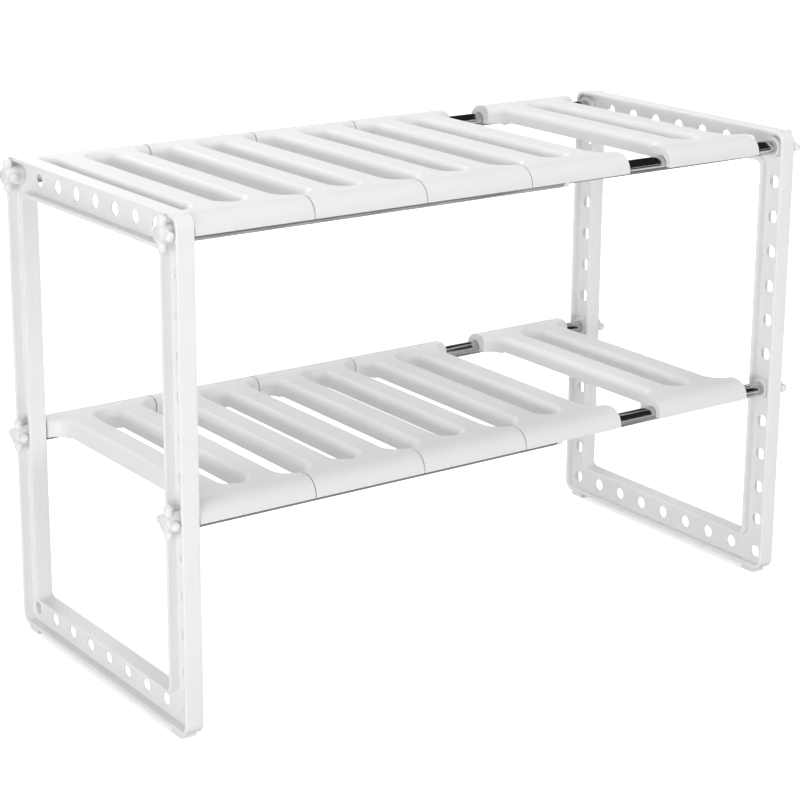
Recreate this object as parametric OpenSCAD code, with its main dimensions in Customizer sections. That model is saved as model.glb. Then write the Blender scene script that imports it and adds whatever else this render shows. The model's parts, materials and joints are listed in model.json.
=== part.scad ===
// Two-tier expandable shelf rack: two end frames with peg holes, joined by telescoping tubes,
// with slatted panels that clip over the tubes. Lengths are in millimetres.
// +X runs along the rack, +Y to the back and +Z up. The origin is at the bottom centre.

/* [End frames] */
// Spacing of the peg holes along a rail or post
hole_pitch = 29; // [26:0.5:34]
// Number of peg holes from front to back
holes_deep = 9; // [7:1:11]
// Number of peg holes up a post
holes_high = 13; // [11:1:16]
// Hole, counted up from the bottom one, that carries the lower tier
lower_hole = 6; // [3:1:9]
// Diameter of a peg hole
hole_d = 10; // [8:0.5:12]
// Height of a rail
rail_w = 27; // [26:0.5:34]
// Width of a post
post_w = 24.5; // [24:0.5:32]
// Thickness of a frame along the rack
frame_t = 14; // [11:0.5:20]
// Thickness of the rims that border each rail
rim_t = 3; // [2.2:0.1:3.5]
// Rounding of the rim edges
rim_round = 0.9; // [0.4:0.1:1]
// Thickness of the web that holds the holes
web_t = 3; // [2:0.1:4]
// Radius of the outer corners
corner_r = 9; // [6:0.5:12]
// Radius of the window corners
window_r = 5; // [3:0.5:12]
// Height of the foot pads under the corners
foot_h = 4; // [2:0.5:8]
// Length of a foot pad from front to back, past the round corner
foot_l = 14; // [10:1:30]

/* [Tubes] */
// Outer diameter of the thick tubes on the left
outer_tube_d = 15.4; // [14.8:0.1:17]
// Outer diameter of the thin tubes on the right
inner_tube_d = 11.6; // [10.5:0.1:13.6]
// Wall of both tubes
tube_wall = 0.4; // [0.3:0.05:0.5]
// Length of a thick tube
outer_tube_l = 322; // [260:1:380]
// Length of a thin tube
inner_tube_l = 400; // [340:1:500]
// Length of the collar that shows at a thick tube's mouth
collar_l = 6; // [4:0.5:12]
// Length of the collar's sleeve inside the tube
collar_sleeve_l = 10; // [6:1:20]

/* [Plugs and knobs] */
// Thickness of a plug's flange
plug_flange_t = 5; // [1.5:0.1:5]
// How far the flange stands out past the thick tube
plug_lip = 1; // [0.5:0.1:1.2]
// Length of a plug inside its tube
plug_l = 18; // [14:1:30]
// Lead-in chamfer at a plug's inner end
plug_chamfer = 1; // [0.5:0.1:1.5]
// Diameter of a knob's screw
screw_d = 6; // [5:0.1:7]
// Reach of the screw into its plug
screw_reach = 14; // [8:0.5:14]
// Tip-to-tip size of a knob
knob_span = 26.5; // [24:0.5:28]
// Diameter of a knob's lobes
lobe_d = 7.2; // [6:0.1:8.4]
// Diameter of a knob's hub
hub_d = 13; // [12.5:0.5:15]
// Height of the hub's rim above the lobes
hub_rim = 0.4; // [0.2:0.1:1]
// Rise of the hub's dome above its rim
hub_rise = 0.8; // [0.4:0.1:2]
// Width of the seat that a knob's boss has around the peg hole
boss_lip = 2; // [1.5:0.1:3]

/* [Panels] */
// Width of a panel along the rack
panel_w = 94.5; // [84:0.5:110]
// Seam between neighbouring panels
panel_gap = 1; // [0.4:0.1:2]
// Free gap between the row of panels and the last one
pipe_gap = 41; // [10:0.5:80]
// Bare tube between the last panel and the right frame
end_gap = 24.5; // [5:0.5:50]
// Height from a panel's lower edge to its top
panel_h = 14.5; // [13:0.5:16]
// Plastic over the top of the tube
crown_t = 4.5; // [3:0.1:6]
// Plastic in front of the tube
hood_t = 3; // [2.5:0.1:4]
// Radius of the hood over the tube
hood_r = 13; // [8:0.5:13]
// Moulded wall
panel_wall = 2.2; // [1.8:0.1:2.5]
// Depth of the deep pads that hold the tubes, from a panel's end
pad_l = 34; // [31:1:45]
// Clear width of the slot in the middle of a panel
slot_w = 19; // [14:0.5:22]
// Distance of that slot from the panel's ends
slot_pad = 28.5; // [25:0.5:40]
// Clear width of the slot that two neighbouring panels form
seam_slot_w = 24.5; // [18:0.5:27]
// Distance of that slot from the panel's ends
seam_pad = 24; // [23:0.5:40]
// Height of the slats
slat_h = 11; // [8:0.5:12]
// Rounding of the slats along the slots
slat_r = 6.5; // [3:0.5:7]
// Thickness of the stiffening ribs
rib_t = 1.6; // [1.2:0.1:2]
// Number of ribs across each slat
rib_count = 5; // [1:1:9]
// Height of the ribs' lower edges above the slats' lower edge
rib_rise = 1; // [0.5:0.5:3]
// Width of a clip
clip_w = 3; // [2:0.5:6]
// Thickness of a clip's hook
hook_t = 2.4; // [1.8:0.1:3]
// Angle that a hook reaches round under the tube
hook_angle = 55; // [40:1:60]

/* [Clearances] */
// Radial clearance of a part that turns or slides in its bore
running = 0.05; // [0.02:0.01:0.1]
// Radial clearance of a part that is pressed into its tube
press = 0.02; // [0.01:0.01:0.05]
// Clearance of the panels over the tubes
seat = 0.3; // [0.25:0.05:0.5]
// Clearance of a knob's lobes over the rims
knob_gap = 0.4; // [0.3:0.1:1]

/* [Hidden] */
$fn = 64;
plastic = [0.94, 0.94, 0.93];
steel = [0.75, 0.76, 0.78];
// Overlap of cutting shapes past the faces they cut
cut = 1;
row_count = 4;

// Grid of the peg holes
tube_y = (holes_deep - 1) * hole_pitch / 2;
rows_h = (holes_high - 1) * hole_pitch;
frame_d = 2 * tube_y + post_w;
frame_h = rows_h + rail_w;
window_d = 2 * tube_y - post_w;
window_h = rows_h - rail_w;
base_z = foot_h + rail_w / 2;
upper_z = base_z + rows_h;
lower_z = base_z + (lower_hole - 1) * hole_pitch;
recess = (frame_t - web_t) / 2;

// Places along the rack
panel_pitch = panel_w + panel_gap;
row_l = row_count * panel_pitch;
span = frame_t + row_l + pipe_gap + panel_w + end_gap;
left_x = -span / 2;
right_x = span / 2;
row_x = left_x + frame_t / 2 + panel_gap;
last_x = right_x - frame_t / 2 - end_gap - panel_w / 2;
tube_inset = web_t / 2 + plug_flange_t;

// Panel sections, measured from the tube's axis
clip_r = outer_tube_d / 2 + seat;
panel_top = clip_r + crown_t;
panel_low = panel_top - panel_h;
hood = clip_r + hood_t;
panel_end = tube_y + hood;
slat_low = panel_top - slat_h;
pad_y = panel_end - pad_l;
// Middle of a slat, between the panel's own slot and the slot at its edge
slat_x = (slot_w / 2 + panel_pitch / 2 - seam_slot_w / 2) / 2;

// Knob heights above the web
lobe_z = recess + knob_gap + lobe_d / 2;
hub_top = lobe_z + lobe_d / 2 + hub_rim + hub_rise;
// Distance from the knob's axis at which a lobe starts, inside the hub
lobe_root = 0.9 * sqrt(pow(hub_d / 2, 2) - pow(lobe_d / 2, 2));

TIERS = [["upper", upper_z], ["lower", lower_z]];
LINES = [["front", -1], ["rear", 1]];
ENDS = [["left", -1], ["right", 1]];
ROW = [for (k = [1:row_count]) k];
LAST = row_count + 1;

// Stands a flat drawing up, with its first axis along Y, its second along Z and its depth along X
module upright() {
    rotate([90, 0, 90]) children();
}

// Turns a revolved piece so that its axis points along X, to the right for 1 and to the left for -1
module facing(side) {
    rotate([0, side * 90, 0]) children();
}

// Rectangle about the origin with round corners
module round_rect(w, h, r) {
    square([w - 2 * r, h], center = true);
    square([w, h - 2 * r], center = true);
    for (x = [-1, 1], y = [-1, 1])
        translate([x * (w / 2 - r), y * (h / 2 - r)]) circle(r);
}

// Rim profile swept round a rectangle of outer size d by h with corners of radius r
module rim_loop(d, h, r) {
    for (s = [-1, 1]) {
        translate([-(d / 2 - r), s * (h - rim_t) / 2, 0])
            upright() linear_extrude(d - 2 * r) round_rect(rim_t, frame_t, rim_round);
        translate([s * (d - rim_t) / 2, h / 2 - r, 0])
            rotate([90, 0, 0]) linear_extrude(h - 2 * r) round_rect(rim_t, frame_t, rim_round);
    }
    for (corner = [[1, 1, 0], [-1, 1, 90], [-1, -1, 180], [1, -1, 270]])
        translate([corner[0] * (d / 2 - r), corner[1] * (h / 2 - r), 0])
            rotate([0, 0, corner[2]])
                rotate_extrude(angle = 90)
                    translate([r - rim_t / 2, 0]) round_rect(rim_t, frame_t, rim_round);
}

// Web between the two rims, with its peg holes
module web_sheet() {
    difference() {
        round_rect(frame_d - rim_t, frame_h - rim_t, corner_r - rim_t / 2);
        round_rect(window_d + rim_t, window_h + rim_t, window_r + rim_t / 2);
        for (i = [0:holes_deep - 1], s = [-1, 1])
            translate([i * hole_pitch - tube_y, s * rows_h / 2]) circle(d = hole_d);
        for (j = [1:holes_high - 2], s = [-1, 1])
            translate([s * tube_y, j * hole_pitch - rows_h / 2]) circle(d = hole_d);
    }
}

// Foot pads beside the round corners, sunk into the rim by half its thickness
module foot_pads() {
    sunk = rim_t / 2;
    for (s = [-1, 1])
        translate([s * ((frame_d - foot_l) / 2 - corner_r), (sunk - foot_h - frame_h) / 2])
            square([foot_l, foot_h + sunk], center = true);
}

module end_frame(x) {
    color(plastic)
        translate([x, 0, base_z + rows_h / 2]) upright() {
            rim_loop(frame_d, frame_h, corner_r);
            rim_loop(window_d + 2 * rim_t, window_h + 2 * rim_t, window_r + rim_t);
            translate([0, 0, -web_t / 2]) linear_extrude(web_t) web_sheet();
            translate([0, 0, rim_round - frame_t / 2])
                linear_extrude(frame_t - 2 * rim_round) foot_pads();
        }
}

module tube(d, length) {
    difference() {
        cylinder(d = d, h = length);
        translate([0, 0, -cut]) cylinder(d = d - 2 * tube_wall, h = length + 2 * cut);
    }
}

module outer_tube(line, z) {
    color(steel)
        translate([left_x + tube_inset, line * tube_y, z]) facing(1) tube(outer_tube_d, outer_tube_l);
}

module inner_tube(line, z) {
    color(steel)
        translate([right_x - tube_inset, line * tube_y, z]) facing(-1) tube(inner_tube_d, inner_tube_l);
}

// Guide ring at a thick tube's mouth, with a sleeve pressed into the tube
module collar(line, z) {
    bore_r = inner_tube_d / 2 + running;
    head_r = outer_tube_d / 2;
    sleeve_r = head_r - tube_wall - press;
    nose = (head_r - bore_r) / 2;
    color(plastic)
        translate([left_x + tube_inset + outer_tube_l, line * tube_y, z]) facing(1)
            rotate_extrude()
                polygon([
                    [bore_r, -collar_sleeve_l], [sleeve_r, -collar_sleeve_l], [sleeve_r, 0], [head_r, 0],
                    [head_r, collar_l - nose], [head_r - nose, collar_l], [bore_r, collar_l]
                ]);
}

// Flanged plug in a tube's end that takes the knob's screw
module plug(end, line, z) {
    tube_d = end < 0 ? outer_tube_d : inner_tube_d;
    bore_r = screw_d / 2 + running;
    flange_r = outer_tube_d / 2 + plug_lip;
    body_r = tube_d / 2 - tube_wall - press;
    inner_z = plug_flange_t + plug_l;
    color(plastic)
        translate([end * (span - web_t) / 2, line * tube_y, z]) facing(-end)
            rotate_extrude()
                polygon([
                    [bore_r, 0], [flange_r, 0], [flange_r, plug_flange_t], [body_r, plug_flange_t],
                    [body_r, inner_z - plug_chamfer], [body_r - plug_chamfer, inner_z], [bore_r, inner_z]
                ]);
}

// Round-nosed lobe of a knob, along its own axis
module lobe() {
    nose = lobe_d / 2;
    straight = knob_span / 2 - lobe_root - nose;
    rotate_extrude() {
        square([nose, straight]);
        translate([0, straight])
            intersection() {
                circle(nose);
                square(nose);
            }
    }
}

// Cross knob with four lobes, a domed hub, a boss that seats on the web and a screw
module knob(end, line, z) {
    dome_r = (pow(hub_d / 2, 2) + pow(hub_rise, 2)) / (2 * hub_rise);
    screw_l = web_t + plug_flange_t + screw_reach;
    color(plastic)
        translate([end * (span + web_t) / 2, line * tube_y, z]) facing(end) {
            cylinder(d = hole_d + 2 * boss_lip, h = recess);
            intersection() {
                cylinder(d = hub_d, h = hub_top);
                translate([0, 0, hub_top - dome_r]) sphere(dome_r);
            }
            for (turn = [0:90:270])
                rotate([0, 0, turn]) translate([lobe_root, 0, lobe_z]) facing(1) lobe();
            translate([0, 0, -screw_l]) cylinder(d = screw_d, h = screw_l);
        }
}

// Section of a panel from front to back, with round noses, set in by a wall and cut off at a height
module hood_outline(inset, low) {
    reach = panel_end - inset;
    top = panel_top - inset;
    r = hood_r - inset;
    intersection() {
        union() {
            translate([r - reach, low]) square([2 * (reach - r), top - low]);
            for (s = [-1, 1])
                translate([s * (reach - r), top - r]) circle(r);
        }
        translate([-reach - cut, low]) square([2 * (reach + cut), top - low + cut]);
    }
}

// Half section of a slot of half width r, whose upper edges flare out along the slats' rounding
module slot_half(r, inset) {
    below = panel_low - 2 * cut;
    translate([0, below]) square([r + inset, panel_top - slat_r - below]);
    translate([0, panel_top - slat_r])
        difference() {
            square([r + slat_r, slat_r + cut]);
            translate([r + slat_r, 0]) circle(slat_r - inset);
        }
}

// Slot with round ends at a distance from the panel's ends, set wider by an inset
module slot_cut(w, pad, inset) {
    reach = panel_end - pad - w / 2;
    translate([0, reach, 0]) rotate([90, 0, 0]) linear_extrude(2 * reach) {
        slot_half(w / 2, inset);
        mirror([1, 0]) slot_half(w / 2, inset);
    }
    for (turn = [0, 180])
        rotate([0, 0, turn]) translate([0, reach, 0]) rotate_extrude(angle = 180) slot_half(w / 2, inset);
}

// A section drawn out along the panel, with the panel's own slot and a half slot along each edge
module slotted(inset) {
    difference() {
        translate([inset - panel_w / 2, 0, 0]) upright() linear_extrude(panel_w - 2 * inset) children();
        slot_cut(slot_w, slot_pad, inset);
        for (s = [-1, 1])
            translate([s * panel_pitch / 2, 0, 0]) slot_cut(seam_slot_w, seam_pad, inset);
    }
}

// Outer section: slats in the middle and a deeper pad over each tube
module outer_section() {
    difference() {
        hood_outline(0, panel_low);
        translate([-pad_y, panel_low - cut]) square([2 * pad_y, slat_low - panel_low + cut]);
    }
}

// Section of the hollows under the slats and in the pads, with the pads' inner walls between them
module hollow_section() {
    difference() {
        hood_outline(panel_wall, panel_low - cut);
        for (l = [-1, 1])
            translate([l * (pad_y + panel_wall / 2), 0]) square([panel_wall, 4 * panel_h], center = true);
    }
}

// Ribs under the slats, one along each and several across
module panel_ribs() {
    half_d = pad_y + panel_wall / 2;
    rib_low = slat_low + rib_rise;
    intersection() {
        slotted(panel_wall / 2)
            translate([-half_d, rib_low]) square([2 * half_d, panel_top - panel_wall / 2 - rib_low]);
        union() {
            for (s = [-1, 1])
                translate([s * slat_x, 0, 0]) cube([rib_t, 2 * tube_y, 4 * panel_h], center = true);
            for (i = [1:rib_count])
                translate([0, (2 * i / (rib_count + 1) - 1) * pad_y, 0])
                    cube([2 * panel_w, rib_t, 4 * panel_h], center = true);
        }
    }
}

// Saddles across the pads that carry the panel on the tubes
module saddles() {
    half_d = pad_y + panel_wall / 2;
    for (s = [-1, 1])
        translate([s * slat_x - clip_w / 2, 0, 0]) upright()
            linear_extrude(clip_w)
                difference() {
                    hood_outline(panel_wall / 2, panel_low);
                    square([2 * half_d, 4 * panel_h], center = true);
                }
}

// Spring hook that reaches under a tube, with a bore of radius r, from the panel's inner side
module hook(r) {
    out = 2 * (r + hook_t);
    translate([-clip_w / 2, 0, 0]) upright()
        linear_extrude(clip_w)
            intersection() {
                difference() {
                    circle(r + hook_t);
                    circle(r);
                }
                polygon([[0, 0], [out * cos(hook_angle), -out * sin(hook_angle)], [out, 0], [out, hood_t], [0, hood_t]]);
            }
}

// Slatted panel, hollow underneath, with clips for tubes of a diameter
module panel(x, z, tube_d) {
    bore_r = tube_d / 2 + seat;
    color(plastic)
        translate([x, 0, z]) {
            difference() {
                union() {
                    difference() {
                        slotted(0) outer_section();
                        slotted(panel_wall) hollow_section();
                    }
                    panel_ribs();
                    saddles();
                }
                for (l = [-1, 1])
                    translate([-panel_w, l * tube_y, 0]) facing(1) cylinder(r = bore_r, h = 2 * panel_w);
            }
            for (s = [-1, 1], turn = [0, 180])
                rotate([0, 0, turn]) translate([s * slat_x, -tube_y, 0]) hook(bore_r);
        }
}

for (e = ENDS)
    end_frame(e[1] * span / 2);

for (t = TIERS, l = LINES) {
    outer_tube(l[1], t[1]);
    inner_tube(l[1], t[1]);
    collar(l[1], t[1]);
}

for (t = TIERS, l = LINES, e = ENDS) {
    plug(e[1], l[1], t[1]);
    knob(e[1], l[1], t[1]);
}

for (t = TIERS, k = ROW)
    panel(row_x + (k - 1) * panel_pitch + panel_w / 2, t[1], outer_tube_d);

for (t = TIERS)
    panel(last_x, t[1], inner_tube_d);
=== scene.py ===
import json
import math

import bpy
from mathutils import Matrix, Vector

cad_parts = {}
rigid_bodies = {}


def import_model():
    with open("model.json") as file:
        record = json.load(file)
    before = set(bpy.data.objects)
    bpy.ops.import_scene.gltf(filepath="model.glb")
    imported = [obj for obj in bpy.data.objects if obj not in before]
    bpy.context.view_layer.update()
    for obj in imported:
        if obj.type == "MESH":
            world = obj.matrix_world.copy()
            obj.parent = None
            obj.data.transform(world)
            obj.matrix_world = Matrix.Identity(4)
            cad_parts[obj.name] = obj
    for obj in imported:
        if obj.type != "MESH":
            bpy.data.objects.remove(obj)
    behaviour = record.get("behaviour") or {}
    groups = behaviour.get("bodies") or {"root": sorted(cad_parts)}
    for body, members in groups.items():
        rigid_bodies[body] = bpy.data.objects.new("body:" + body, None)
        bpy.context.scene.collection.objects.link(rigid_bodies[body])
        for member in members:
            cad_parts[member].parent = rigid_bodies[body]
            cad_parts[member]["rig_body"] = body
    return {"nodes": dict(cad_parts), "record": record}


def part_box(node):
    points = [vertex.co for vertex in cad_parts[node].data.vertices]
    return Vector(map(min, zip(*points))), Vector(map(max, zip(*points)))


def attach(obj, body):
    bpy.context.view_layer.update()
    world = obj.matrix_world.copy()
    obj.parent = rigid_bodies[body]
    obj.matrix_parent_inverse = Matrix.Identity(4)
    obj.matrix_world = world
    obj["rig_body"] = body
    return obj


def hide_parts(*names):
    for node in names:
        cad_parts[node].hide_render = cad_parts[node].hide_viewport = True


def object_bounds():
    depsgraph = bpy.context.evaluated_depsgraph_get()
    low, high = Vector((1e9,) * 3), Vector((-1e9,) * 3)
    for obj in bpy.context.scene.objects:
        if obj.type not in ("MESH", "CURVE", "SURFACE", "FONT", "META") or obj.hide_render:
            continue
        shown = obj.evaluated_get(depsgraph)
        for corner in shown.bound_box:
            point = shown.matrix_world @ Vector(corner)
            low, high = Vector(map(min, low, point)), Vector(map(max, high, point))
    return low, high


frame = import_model()
cad_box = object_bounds()

# Camera, fitted to the peg holes of both end frames as the picture shows them
CAMERA_PLACE = (-0.9776, -1.3502, 0.6897)
CAMERA_YAW = 0.6207
CAMERA_PITCH = -0.2655
CAMERA_ROLL = 0.0072
CAMERA_REACH = 50
PICTURE_SIDE = 800
FOCAL_PIXELS = 2180.0
CENTRE_ROW = 320
SENSOR_WIDTH = 36.0

# Studio: the even fill, the floor's own grey, its glow near the rack and, in metres
# from the middle, where that glow starts to grow and where it is full white
AMBIENT = 0.43
FLOOR_SIDE = 14
FLOOR_GREY = 0.82
FLOOR_LIFT = 0.55
FLOOR_FADE = (0.7, 3.0)
SHEET_ROUGHNESS = 0.9
PURE_WHITE = (1, 1, 1, 1)
BLACK = (0, 0, 0, 1)

# Painted reflections: sheets seen only in gloss that glow in rings of grey and paint the dark
# and light bands on the polished tubes; side, place, and rings from the middle outward as start
# and grey
PAINTED_REFLECTION_SHEETS = {
    # Painted floor reflection: grey rings, with a white ring that paints the bright line along
    # the tubes
    "painted_floor_reflection": (
        14, (0, 0, 0.0005),
        ((0, 0.32), (0.34, 0.75), (0.42, 0.22), (0.62, 1.0), (1.3, 0.02)),
    ),
    # Painted overhead reflection: a near-black sheet that paints the tubes' upper halves dark
    "painted_overhead_reflection": (60, (0, -27.9, 1.5), ((0, 0.02), (20, 0.02))),
}

# Softboxes: place, side and watts, all of them aimed at the middle of the rack
SOFTBOXES = {
    "key_softbox": ((0.5, -2.6, 1.2), 1.4, 17),
    "rear_softbox": ((0.2, 2.5, 1.7), 1.4, 27),
    "top_softbox": ((0, 0.1, 2.4), 1.2, 19),
    "side_softbox": ((-2.6, -1.5, 0.35), 1.4, 44),
}
RACK_MIDDLE = (0, 0, 0.2)

# White plastic: colours, the shade of its slow unevenness, its dust, scuffs and grain
WHITE_FRAME = (0.89, 0.89, 0.89, 1)
WHITE_PANEL = (0.85, 0.85, 0.85, 1)
WHITE_FITTING = (0.86, 0.86, 0.86, 1)
FLOW_SHADE = 0.97
FLOW_RANGE = (0.3, 0.7)
GLOSSIER = 0.05
DULLER = 0.06
DUST = (0.60, 0.60, 0.59, 1)
DUST_FILM = 0.06
DUST_SLOPE = 0.3
SCUFF_TURN = (0.3, 0.5, 0.7)
SCUFF_STRETCH = (1, 14, 14)
SCUFF_RANGE = (0.62, 0.72)
SCUFF_DULLING = 0.12
GRAIN_DEPTH = 0.0002

# Steel tubes: colour, and the shade, stretch and gloss of the streaks along them
STEEL = (0.62, 0.62, 0.63, 1)
STREAK_SHADE = 0.85
STREAK_STRETCH = (6, 900, 900)
STREAK_GLOSS = (0.08, 0.2)

# Rack sizes that the modelled pieces share with the solids, in metres
ENDS = {"left": -1, "right": 1}
TUBE_LINES = {"front": -1, "rear": 1}
TUBE_Y = 0.116
TIER_Z = {"upper": 0.3655, "lower": 0.1625}
SADDLE_R = 0.008
SADDLE_MARGIN = 0.001
HOOD_BACK = 0.1093
SLAT_RIM = 0.0015
SLAT_END = 0.094
HOLE_PITCH = 0.029
HOLE_R = 0.005
FIRST_HOLE_Z = 0.0175
WEB_FACE_X = 0.2795
TINY = 0.00004

# Panels of one shape: the one that is finished first, and the numbers that are its copies
PANEL_RUNS = {"upper_panel_1": (1, 2, 3, 4), "upper_panel_5": (5,)}

# What the copies of the panels and frames get beyond the solids, in metres
SLAT_DROP = 0.0017
WEB_SINK = 0.0018
HOOD_END_ROUND = 0.0014
HOOD_END_STEPS = 4
HOLE_ROUND = 0.0005
SOLE_ROUND = 0.0008
EDGE_STEPS = 2
CREASE_DEGREES = 32

# Merging of a solid's faces, and of a turned form's seam
POINT_MERGE = 0.000002
FLAT_DEGREES = 0.4
SEAM_MERGE = 0.000005

# Cross knob: outlines to be turned, as radius and height in millimetres
MM_PER_M = 1000
SEED_SIDE = 0.001
HUB_STEPS = 72
HUB_OUTLINE = (
    (0, -21.9), (2.3, -21.9), (2.85, -21.2), (2.85, -1.7), (6.5, -1.7), (6.9, -1.3),
    (6.9, 5.1), (6.4, 5.6), (6.4, 12.9), (6.1, 13.35), (5.5, 13.6), (4, 13.9),
    (2, 14.12), (0, 14.2),
)
LOBES = 4
LOBE_STEPS = 40
LOBE_ROOT = 0.0046
LOBE_HEIGHT = 0.0095
LOBE_OUTLINE = (
    (0, -3), (3.3, -3), (3.3, 1), (3.25, 2.4), (3.35, 3.6), (3.55, 4.6), (3.5, 5.6),
    (3.15, 6.6), (2.5, 7.5), (1.6, 8.2), (0.8, 8.5), (0, 8.58),
)
KNOB_VOXEL = 0.0004
BLEND_FACTOR = 0.5
BLEND_PASSES = 7


def add_node(tree, kind, **settings):
    """A node of the tree with its properties set by name."""
    made = tree.nodes.new(kind)
    for name, value in settings.items():
        setattr(made, name, value)
    return made


def set_inputs(made, values):
    """Sets a node's inputs by their labels."""
    for label, value in values.items():
        made.inputs[label].default_value = value


def new_group(name, inputs, outputs):
    """A shader node group with float inputs and outputs, and its two end nodes."""
    group = bpy.data.node_groups.new(name, "ShaderNodeTree")
    kind = "NodeSocketFloat"
    for label, default in inputs.items():
        socket = group.interface.new_socket(label, in_out="INPUT", socket_type=kind)
        socket.default_value = default
    for label in outputs:
        group.interface.new_socket(label, in_out="OUTPUT", socket_type=kind)
    return group, add_node(group, "NodeGroupInput"), add_node(group, "NodeGroupOutput")


def moulding_group():
    """Fine grain and slow unevenness of a moulded plastic face, by Object coordinates."""
    group, start, end = new_group(
        "moulding_grain", {"Grain Scale": 1400.0, "Flow Scale": 22.0}, ("Grain", "Flow")
    )
    link = group.links.new
    place = add_node(group, "ShaderNodeTexCoord")
    for label, detail in (("Grain", 3.0), ("Flow", 4.0)):
        noise = add_node(group, "ShaderNodeTexNoise")
        set_inputs(noise, {"Detail": detail})
        link(place.outputs["Object"], noise.inputs["Vector"])
        link(start.outputs[label + " Scale"], noise.inputs["Scale"])
        link(noise.outputs["Fac"], end.inputs[label])
    return group


def handling_group():
    """Fine scuffs and a thin film of dust on the faces that look up, by Object coordinates."""
    group, start, end = new_group(
        "handling_marks", {"Scuff Scale": 90.0, "Dust Scale": 35.0}, ("Scuffs", "Dust")
    )
    link = group.links.new
    place = add_node(group, "ShaderNodeTexCoord")
    stretch = add_node(group, "ShaderNodeMapping")
    set_inputs(stretch, {"Rotation": SCUFF_TURN, "Scale": SCUFF_STRETCH})
    scratch = add_node(group, "ShaderNodeTexNoise")
    set_inputs(scratch, {"Detail": 2.0})
    thin = add_node(group, "ShaderNodeMapRange")
    set_inputs(thin, {"From Min": SCUFF_RANGE[0], "From Max": SCUFF_RANGE[1]})
    cloud = add_node(group, "ShaderNodeTexNoise")
    set_inputs(cloud, {"Detail": 5.0})
    face = add_node(group, "ShaderNodeNewGeometry")
    split = add_node(group, "ShaderNodeSeparateXYZ")
    upward = add_node(group, "ShaderNodeMapRange")
    set_inputs(upward, {"From Min": DUST_SLOPE})
    dust = add_node(group, "ShaderNodeMath", operation="MULTIPLY")
    link(place.outputs["Object"], stretch.inputs["Vector"])
    link(stretch.outputs["Vector"], scratch.inputs["Vector"])
    link(start.outputs["Scuff Scale"], scratch.inputs["Scale"])
    link(scratch.outputs["Fac"], thin.inputs["Value"])
    link(thin.outputs["Result"], end.inputs["Scuffs"])
    link(place.outputs["Object"], cloud.inputs["Vector"])
    link(start.outputs["Dust Scale"], cloud.inputs["Scale"])
    link(face.outputs["Normal"], split.inputs["Vector"])
    link(split.outputs["Z"], upward.inputs["Value"])
    link(cloud.outputs["Fac"], dust.inputs[0])
    link(upward.outputs["Result"], dust.inputs[1])
    link(dust.outputs["Value"], end.inputs["Dust"])
    return group


def new_finish(name):
    """A new material, its node tree and its shader."""
    material = bpy.data.materials.new(name)
    material.use_nodes = True
    tree = material.node_tree
    return material, tree, tree.nodes["Principled BSDF"]


def add_tone(tree, colour, shade):
    """A mix from a darker shade of a colour to the colour itself."""
    tone = add_node(tree, "ShaderNodeMix", data_type="RGBA")
    set_inputs(tone, {"A": [c * shade for c in colour[:3]] + [1], "B": colour})
    return tone


def white_plastic(name, colour, roughness, bump):
    """Satin white plastic with a moulded grain, a little dust and light scuffs."""
    material, tree, shader = new_finish(name)
    link = tree.links.new
    grain = add_node(tree, "ShaderNodeGroup", node_tree=MOULDING)
    marks = add_node(tree, "ShaderNodeGroup", node_tree=HANDLING)
    tone = add_tone(tree, colour, FLOW_SHADE)
    link(grain.outputs["Flow"], tone.inputs["Factor"])
    film = add_node(tree, "ShaderNodeMath", operation="MULTIPLY")
    film.inputs[1].default_value = DUST_FILM
    link(marks.outputs["Dust"], film.inputs[0])
    dusty = add_node(tree, "ShaderNodeMix", data_type="RGBA")
    set_inputs(dusty, {"B": DUST})
    link(film.outputs["Value"], dusty.inputs["Factor"])
    link(tone.outputs["Result"], dusty.inputs["A"])
    link(dusty.outputs["Result"], shader.inputs["Base Color"])
    gloss = add_node(tree, "ShaderNodeMapRange")
    set_inputs(gloss, {"From Min": FLOW_RANGE[0], "From Max": FLOW_RANGE[1]})
    set_inputs(gloss, {"To Min": roughness - GLOSSIER, "To Max": roughness + DULLER})
    link(grain.outputs["Flow"], gloss.inputs["Value"])
    dull = add_node(tree, "ShaderNodeMath", operation="MULTIPLY_ADD")
    dull.inputs[1].default_value = SCUFF_DULLING
    link(marks.outputs["Scuffs"], dull.inputs[0])
    link(gloss.outputs["Result"], dull.inputs[2])
    link(dull.outputs["Value"], shader.inputs["Roughness"])
    relief = add_node(tree, "ShaderNodeBump")
    set_inputs(relief, {"Strength": bump, "Distance": GRAIN_DEPTH})
    link(grain.outputs["Grain"], relief.inputs["Height"])
    link(relief.outputs["Normal"], shader.inputs["Normal"])
    return material


def polished_steel():
    """Drawn and polished steel with fine streaks along the tube."""
    material, tree, shader = new_finish("polished_steel")
    link = tree.links.new
    shader.inputs["Metallic"].default_value = 1.0
    place = add_node(tree, "ShaderNodeTexCoord")
    stretch = add_node(tree, "ShaderNodeMapping")
    set_inputs(stretch, {"Scale": STREAK_STRETCH})
    streaks = add_node(tree, "ShaderNodeTexNoise")
    set_inputs(streaks, {"Scale": 1.0, "Detail": 4.0})
    tone = add_tone(tree, STEEL, STREAK_SHADE)
    gloss = add_node(tree, "ShaderNodeMapRange")
    set_inputs(gloss, {"To Min": STREAK_GLOSS[0], "To Max": STREAK_GLOSS[1]})
    link(place.outputs["Object"], stretch.inputs["Vector"])
    link(stretch.outputs["Vector"], streaks.inputs["Vector"])
    link(streaks.outputs["Fac"], tone.inputs["Factor"])
    link(tone.outputs["Result"], shader.inputs["Base Color"])
    link(streaks.outputs["Fac"], gloss.inputs["Value"])
    link(gloss.outputs["Result"], shader.inputs["Roughness"])
    return material


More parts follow.
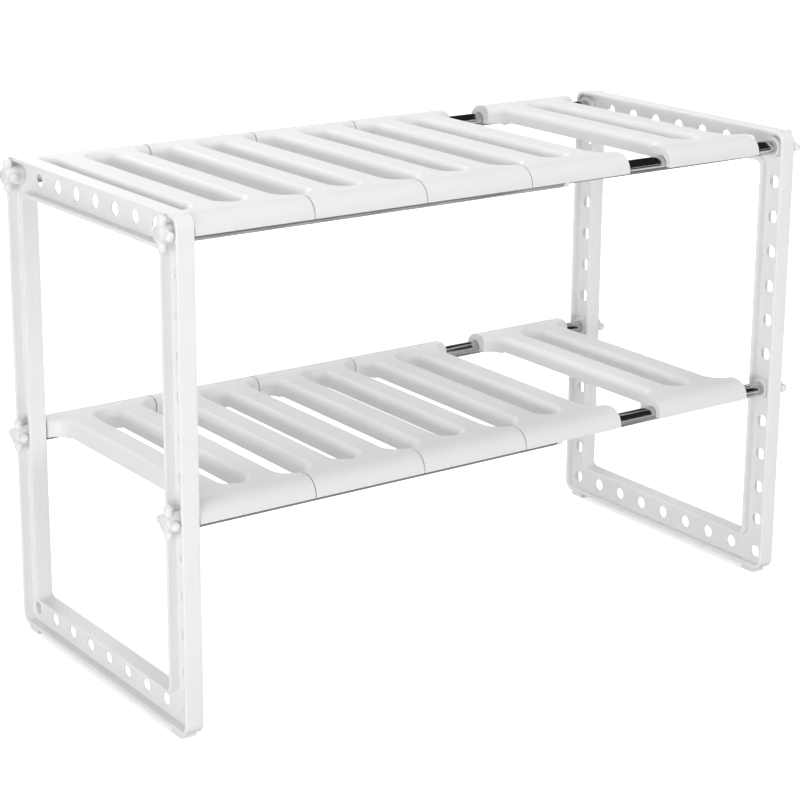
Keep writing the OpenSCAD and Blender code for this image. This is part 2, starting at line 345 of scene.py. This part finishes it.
MOULDING = moulding_group()
HANDLING = handling_group()
FINISH = {
    "frame_plastic": white_plastic("frame_white", WHITE_FRAME, roughness=0.48, bump=0.12),
    "panel_plastic": white_plastic("panel_white", WHITE_PANEL, roughness=0.50, bump=0.12),
    "fitting_plastic": white_plastic("fitting_white", WHITE_FITTING, roughness=0.36, bump=0.08),
    "tube_steel": polished_steel(),
}


def dress_nodes():
    """Every CAD node gets the finish of its material slot."""
    for row in frame["record"]["subparts"]:
        part = frame["nodes"][row["node"]]
        part.data.materials.clear()
        part.data.materials.append(FINISH[row["material_slot"]])


def only(piece):
    """Selects one piece and nothing else."""
    bpy.ops.object.select_all(action="DESELECT")
    piece.select_set(True)
    bpy.context.view_layer.objects.active = piece


def solid_copy(node, name):
    """A merged copy of a solid, with its flat faces whole again."""
    piece = bpy.data.objects.new(name, frame["nodes"][node].data.copy())
    bpy.context.scene.collection.objects.link(piece)
    only(piece)
    bpy.ops.mesh.customdata_custom_splitnormals_clear()
    bpy.ops.object.mode_set(mode="EDIT")
    bpy.ops.mesh.select_all(action="SELECT")
    bpy.ops.mesh.remove_doubles(threshold=POINT_MERGE)
    bpy.ops.mesh.dissolve_limited(angle_limit=math.radians(FLAT_DEGREES))
    bpy.ops.object.mode_set(mode="OBJECT")
    return piece


def pick_none(piece, kind):
    """Clears what is picked in a piece, so that points or edges can be picked by a test."""
    only(piece)
    bpy.ops.object.mode_set(mode="EDIT")
    bpy.ops.mesh.select_mode(type=kind)
    bpy.ops.mesh.select_all(action="DESELECT")
    bpy.ops.object.mode_set(mode="OBJECT")


def round_edges(piece, wanted, width, segments):
    """Bevels the edges whose two ends pass the test."""
    pick_none(piece, "EDGE")
    points = piece.data.vertices
    for edge in piece.data.edges:
        edge.select = wanted(*(points[i].co for i in edge.vertices))
    bpy.ops.object.mode_set(mode="EDIT")
    bpy.ops.mesh.bevel(offset=width, segments=segments, affect="EDGES", clamp_overlap=True)
    bpy.ops.object.mode_set(mode="OBJECT")


def pull_points(piece, wanted, move):
    """Moves the points that pass the test, and the faces between them go along."""
    pick_none(piece, "VERT")
    for point in piece.data.vertices:
        point.select = wanted(point.co)
    bpy.ops.object.mode_set(mode="EDIT")
    bpy.ops.transform.translate(value=move)
    bpy.ops.object.mode_set(mode="OBJECT")


def smooth_faces(piece):
    """Smooth shading over the curves, with the flat faces kept flat."""
    only(piece)
    bpy.ops.object.shade_smooth_by_angle(angle=math.radians(CREASE_DEGREES))
    even = piece.modifiers.new("even_normals", "WEIGHTED_NORMAL")
    even.keep_sharp = True
    bpy.ops.object.modifier_apply(modifier=even.name)


def moved_copy(master, name, move):
    """A copy of a master piece with its own mesh, moved and with its place applied."""
    piece = bpy.data.objects.new(name, master.data.copy())
    bpy.context.scene.collection.objects.link(piece)
    piece.matrix_world = move
    only(piece)
    bpy.ops.object.transform_apply(location=True, rotation=True, scale=True)
    return piece


def stand_for(piece, node, slot):
    """The piece takes the place, the body and the finish of a solid."""
    piece.data.materials.clear()
    piece.data.materials.append(FINISH[slot])
    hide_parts(node)
    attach(piece, frame["nodes"][node]["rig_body"])


def drop_master(master):
    """Removes a master piece once its copies are made."""
    mesh = master.data
    bpy.data.objects.remove(master)
    bpy.data.meshes.remove(mesh)


def panel_master(node, name, tier):
    """A slatted panel with deep slats, whose hoods are rounded where two panels meet."""
    low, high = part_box(node)

    def on_slat_rim(point):
        return abs(point.z - TIER_Z[tier] - SLAT_RIM) < TINY and abs(point.y) < SLAT_END

    def on_hood(point):
        from_tube = math.hypot(abs(point.y) - TUBE_Y, point.z - TIER_Z[tier])
        return from_tube > SADDLE_R + SADDLE_MARGIN and abs(point.y) > HOOD_BACK

    def on_hood_end(a, b):
        at_end = any(max(abs(a.x - end.x), abs(b.x - end.x)) < TINY for end in (low, high))
        return at_end and on_hood(a) and on_hood(b)

    panel = solid_copy(node, name)
    pull_points(panel, on_slat_rim, (0, 0, -SLAT_DROP))
    round_edges(panel, on_hood_end, HOOD_END_ROUND, HOOD_END_STEPS)
    smooth_faces(panel)
    return panel


def lay_panels():
    """Four panels side by side and one after the pipe gap, on each tier."""
    for first, numbers in PANEL_RUNS.items():
        master = panel_master(first, "master_" + first, "upper")
        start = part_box(first)[0]
        for tier in TIER_Z:
            for number in numbers:
                node = f"{tier}_panel_{number}"
                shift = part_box(node)[0] - start
                panel = moved_copy(master, f"slatted_{node}", Matrix.Translation(shift))
                stand_for(panel, node, "panel_plastic")
        drop_master(master)


def turned(name, outline, steps):
    """A turned form about Z, from an outline drawn point by point in millimetres."""
    path = [Vector((radius / MM_PER_M, 0, height / MM_PER_M)) for radius, height in outline]
    bpy.ops.object.select_all(action="DESELECT")
    bpy.ops.mesh.primitive_plane_add(size=SEED_SIDE)
    piece = bpy.context.object
    piece.name = name
    bpy.ops.object.mode_set(mode="EDIT")
    bpy.ops.mesh.select_mode(type="VERT")
    bpy.ops.mesh.select_all(action="SELECT")
    bpy.ops.mesh.merge(type="CENTER")
    bpy.ops.mesh.select_all(action="SELECT")
    bpy.ops.transform.translate(value=path[0])
    for here, there in zip(path, path[1:]):
        bpy.ops.mesh.extrude_region_move(TRANSFORM_OT_translate={"value": there - here})
    bpy.ops.mesh.select_all(action="SELECT")
    bpy.ops.mesh.spin(steps=steps, angle=2 * math.pi, center=(0, 0, 0), axis=(0, 0, 1))
    bpy.ops.mesh.select_all(action="SELECT")
    bpy.ops.mesh.remove_doubles(threshold=SEAM_MERGE)
    bpy.ops.mesh.normals_make_consistent(inside=False)
    bpy.ops.object.mode_set(mode="OBJECT")
    return piece


def knob_master():
    """A cross knob: a turned hub with its screw, and four ball-ended lobes blended into it."""
    hub = turned("master_knob", HUB_OUTLINE, HUB_STEPS)
    lobe = turned("master_lobe", LOBE_OUTLINE, LOBE_STEPS)
    root = Matrix.Translation((LOBE_ROOT, 0, LOBE_HEIGHT))
    outward = root @ Matrix.Rotation(math.pi / 2, 4, "Y")
    lobes = []
    for count in range(LOBES):
        turn = Matrix.Rotation(math.radians(360 / LOBES * count), 4, "Z")
        lobes.append(moved_copy(lobe, f"lobe_{count}", turn @ outward))
    drop_master(lobe)
    only(hub)
    for each in lobes:
        each.select_set(True)
    bpy.ops.object.join()
    skin = hub.modifiers.new("one_skin", "REMESH")
    skin.mode = "VOXEL"
    skin.voxel_size = KNOB_VOXEL
    bpy.ops.object.modifier_apply(modifier=skin.name)
    soft = hub.modifiers.new("soft_blend", "SMOOTH")
    soft.factor = BLEND_FACTOR
    soft.iterations = BLEND_PASSES
    bpy.ops.object.modifier_apply(modifier=soft.name)
    bpy.ops.object.shade_smooth()
    return hub


def fit_knobs():
    """A knob at each tube end, outside the end frames."""
    master = knob_master()
    for tier, height in TIER_Z.items():
        for line, side in TUBE_LINES.items():
            for end, way in ENDS.items():
                node = f"{tier}_{line}_{end}_knob"
                place = Matrix.Translation((way * WEB_FACE_X, side * TUBE_Y, height))
                outward = Matrix.Rotation(way * math.pi / 2, 4, "Y")
                knob = moved_copy(master, f"cross_{node}", place @ outward)
                stand_for(knob, node, "fitting_plastic")
    drop_master(master)


def stand_frames():
    """End frames with a thin web, softened peg holes and foot pads."""

    def on_web_face(point):
        return abs(abs(point.x) - WEB_FACE_X) < TINY

    def from_hole(point):
        across = (point.y + TUBE_Y) / HOLE_PITCH
        up = (point.z - FIRST_HOLE_Z) / HOLE_PITCH
        return math.hypot(across - round(across), up - round(up)) * HOLE_PITCH

    def on_hole(a, b):
        at_rim = all(abs(from_hole(end) - HOLE_R) < TINY for end in (a, b))
        return abs(a.x - b.x) < TINY and at_rim

    def on_sole(a, b):
        return max(a.z, b.z) < TINY

    for end, way in ENDS.items():
        node = f"{end}_end_frame"
        stand = solid_copy(node, f"moulded_{node}")
        pull_points(stand, on_web_face, (-way * WEB_SINK, 0, 0))
        round_edges(stand, on_hole, HOLE_ROUND, EDGE_STEPS)
        round_edges(stand, on_sole, SOLE_ROUND, EDGE_STEPS)
        smooth_faces(stand)
        stand_for(stand, node, "frame_plastic")


def seen_by_eye(tree):
    """A mask that is 1 for what the eye sees directly, in a gloss or through a clear piece."""
    path = add_node(tree, "ShaderNodeLightPath")
    first = add_node(tree, "ShaderNodeMath", operation="MAXIMUM")
    both = add_node(tree, "ShaderNodeMath", operation="MAXIMUM")
    tree.links.new(path.outputs["Is Camera Ray"], first.inputs[0])
    tree.links.new(path.outputs["Is Glossy Ray"], first.inputs[1])
    tree.links.new(first.outputs["Value"], both.inputs[0])
    tree.links.new(path.outputs["Is Transmission Ray"], both.inputs[1])
    return both.outputs["Value"]


def light_world():
    """White to the eye, and a soft even light for the rack."""
    world = bpy.data.worlds.new("studio")
    bpy.context.scene.world = world
    world.use_nodes = True
    tree = world.node_tree
    tree.nodes.clear()
    out = add_node(tree, "ShaderNodeOutputWorld")
    fill = add_node(tree, "ShaderNodeBackground")
    set_inputs(fill, {"Color": PURE_WHITE, "Strength": AMBIENT})
    white = add_node(tree, "ShaderNodeBackground")
    set_inputs(white, {"Color": PURE_WHITE})
    pick = add_node(tree, "ShaderNodeMixShader")
    tree.links.new(seen_by_eye(tree), pick.inputs[0])
    tree.links.new(fill.outputs[0], pick.inputs[1])
    tree.links.new(white.outputs[0], pick.inputs[2])
    tree.links.new(pick.outputs[0], out.inputs["Surface"])


def stage_plane(name, side, place, colour):
    """A square stage sheet with a dull finish, and the tree and shader of that finish."""
    bpy.ops.object.select_all(action="DESELECT")
    bpy.ops.mesh.primitive_plane_add(size=side, location=place)
    sheet = bpy.context.object
    sheet.name = name
    material, tree, shader = new_finish(name)
    set_inputs(shader, {"Base Color": colour, "Roughness": SHEET_ROUGHNESS})
    shader.inputs["Specular IOR Level"].default_value = 0.0
    sheet.data.materials.append(material)
    return sheet, tree, shader


def from_centre(tree):
    """How far a point of a stage sheet is from the middle of that sheet."""
    place = add_node(tree, "ShaderNodeTexCoord")
    length = add_node(tree, "ShaderNodeVectorMath", operation="LENGTH")
    tree.links.new(place.outputs["Object"], length.inputs[0])
    return length.outputs["Value"]


def lay_floor():
    """Pale floor that fades to white and keeps the rack's shadow."""
    place = (0, 0, cad_box[0].z)
    grey = (FLOOR_GREY,) * 3 + (1,)
    _, tree, shader = stage_plane("studio_floor", FLOOR_SIDE, place, grey)
    shader.inputs["Emission Color"].default_value = PURE_WHITE
    fade = add_node(tree, "ShaderNodeMapRange", interpolation_type="SMOOTHSTEP")
    set_inputs(fade, {"From Min": FLOOR_FADE[0], "From Max": FLOOR_FADE[1]})
    set_inputs(fade, {"To Min": FLOOR_LIFT})
    lift = add_node(tree, "ShaderNodeMath", operation="MULTIPLY")
    tree.links.new(from_centre(tree), fade.inputs["Value"])
    tree.links.new(seen_by_eye(tree), lift.inputs[0])
    tree.links.new(fade.outputs["Result"], lift.inputs[1])
    tree.links.new(lift.outputs["Value"], shader.inputs["Emission Strength"])


def paint_reflection_sheet(name, side, place, rings):
    """A sheet in rings of glowing grey, shown only in the gloss: a painted reflection that
    bands the polished tubes.
    """
    sheet, tree, shader = stage_plane(name, side, place, BLACK)
    for kind in ("camera", "diffuse", "transmission", "volume_scatter", "shadow"):
        setattr(sheet, "visible_" + kind, False)
    # The sheet glows in its greys though it is no lamp; only the gloss of the tubes shows it,
    # as painted reflections.
    shader.inputs["Emission Strength"].default_value = 1.0
    reach = add_node(tree, "ShaderNodeMath", operation="DIVIDE")
    reach.inputs[1].default_value = side
    steps = add_node(tree, "ShaderNodeValToRGB")
    steps.color_ramp.interpolation = "CONSTANT"
    while len(steps.color_ramp.elements) < len(rings):
        steps.color_ramp.elements.new(1.0)
    for step, (start, grey) in zip(steps.color_ramp.elements, rings):
        step.position = start / side
        step.color = (grey, grey, grey, 1)
    tree.links.new(from_centre(tree), reach.inputs[0])
    tree.links.new(reach.outputs["Value"], steps.inputs["Fac"])
    tree.links.new(steps.outputs["Color"], shader.inputs["Emission Color"])


def hang_softbox(name, place, size, watts):
    """A square area lamp that faces the middle of the rack."""
    data = bpy.data.lights.new(name, "AREA")
    data.size = size
    data.energy = watts
    lamp = bpy.data.objects.new(name, data)
    bpy.context.scene.collection.objects.link(lamp)
    lamp.location = place
    lamp.rotation_mode = "QUATERNION"
    lamp.rotation_quaternion = (Vector(RACK_MIDDLE) - Vector(place)).to_track_quat("-Z", "Y")


def place_camera():
    """The picture's camera, with its lens shifted to keep the uprights nearly parallel."""
    data = bpy.data.cameras.new("picture_camera")
    data.sensor_width = SENSOR_WIDTH
    data.lens = FOCAL_PIXELS / PICTURE_SIDE * SENSOR_WIDTH
    data.shift_y = CENTRE_ROW / PICTURE_SIDE - 0.5
    data.clip_end = CAMERA_REACH
    camera = bpy.data.objects.new("picture_camera", data)
    bpy.context.scene.collection.objects.link(camera)
    tilt = Matrix.Rotation(math.pi / 2 + CAMERA_PITCH, 4, "X")
    turn = Matrix.Rotation(-CAMERA_YAW, 4, "Z") @ tilt
    roll = Matrix.Rotation(CAMERA_ROLL, 4, "Z")
    camera.matrix_world = Matrix.Translation(CAMERA_PLACE) @ turn @ roll
    bpy.context.scene.camera = camera


dress_nodes()
stand_frames()
lay_panels()
fit_knobs()
light_world()
lay_floor()
# Painted reflections for the polished tubes: glowing sheets seen only in gloss
for reflection_sheet_name, (reflection_side, reflection_place, reflection_rings) in PAINTED_REFLECTION_SHEETS.items():
    paint_reflection_sheet(reflection_sheet_name, reflection_side, reflection_place, reflection_rings)
for softbox, (box_place, box_side, box_watts) in SOFTBOXES.items():
    hang_softbox(softbox, box_place, box_side, box_watts)
place_camera()

bpy.context.scene.view_settings.view_transform = "Standard"
